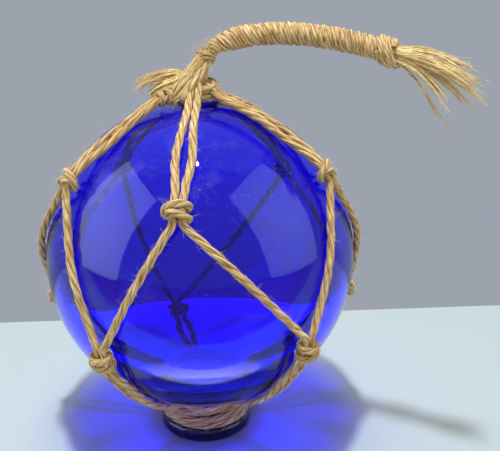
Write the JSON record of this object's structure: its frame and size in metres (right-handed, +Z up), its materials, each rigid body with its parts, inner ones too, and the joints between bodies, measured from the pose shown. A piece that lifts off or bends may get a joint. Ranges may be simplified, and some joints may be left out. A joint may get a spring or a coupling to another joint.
{
  "type": "glass float ball",
  "caption": "Blue glass float ball on a round glass foot, in a knotted twine net with a crown knot and a whipped rope tail that ends in a frayed tassel.",
  "frame": {"origin": "centre of the glass foot's flat underside", "axes": "+Z up through the ball's centre, the front towards -Y, +X to the right, where the whipped tail reaches out"},
  "size_m": [0.2049, 0.1506, 0.2061],
  "materials": {
    "glass": "clear cobalt blue, polished",
    "twine": "natural three-ply jute, hairy and matt",
    "whipping": "thin natural jute, wound tight, a slight sheen",
    "frayed_fibre": "loose pale jute fibres"
  },
  "bodies": {
    "root": {"glass_ball": "glass", "collar_turn_1": "twine", "collar_turn_2": "twine", "collar_turn_3": "twine", "net_cord_1_left": "twine", "net_cord_1_right": "twine", "net_cord_2_left": "twine", "net_cord_2_right": "twine", "net_cord_3_left": "twine", "net_cord_3_right": "twine", "net_cord_4_left": "twine", "net_cord_4_right": "twine", "net_cord_5_left": "twine", "net_cord_5_right": "twine", "upper_knot_1": "twine", "upper_knot_2": "twine", "upper_knot_3": "twine", "upper_knot_4": "twine", "upper_knot_5": "twine", "lower_knot_1": "twine", "lower_knot_2": "twine", "lower_knot_3": "twine", "lower_knot_4": "twine", "lower_knot_5": "twine", "crown_side_knot": "twine", "crown_knot": "twine", "frayed_end": "frayed_fibre", "rope_neck": "twine", "neck_binding": "twine", "whipped_tail": "whipping", "end_collar": "whipping", "tassel_lock_1": "frayed_fibre", "tassel_lock_2": "frayed_fibre", "tassel_lock_3": "frayed_fibre", "tassel_lock_4": "frayed_fibre", "tassel_lock_5": "frayed_fibre", "tassel_lock_6": "frayed_fibre", "tassel_lock_7": "frayed_fibre"}
  },
  "joints": []
}
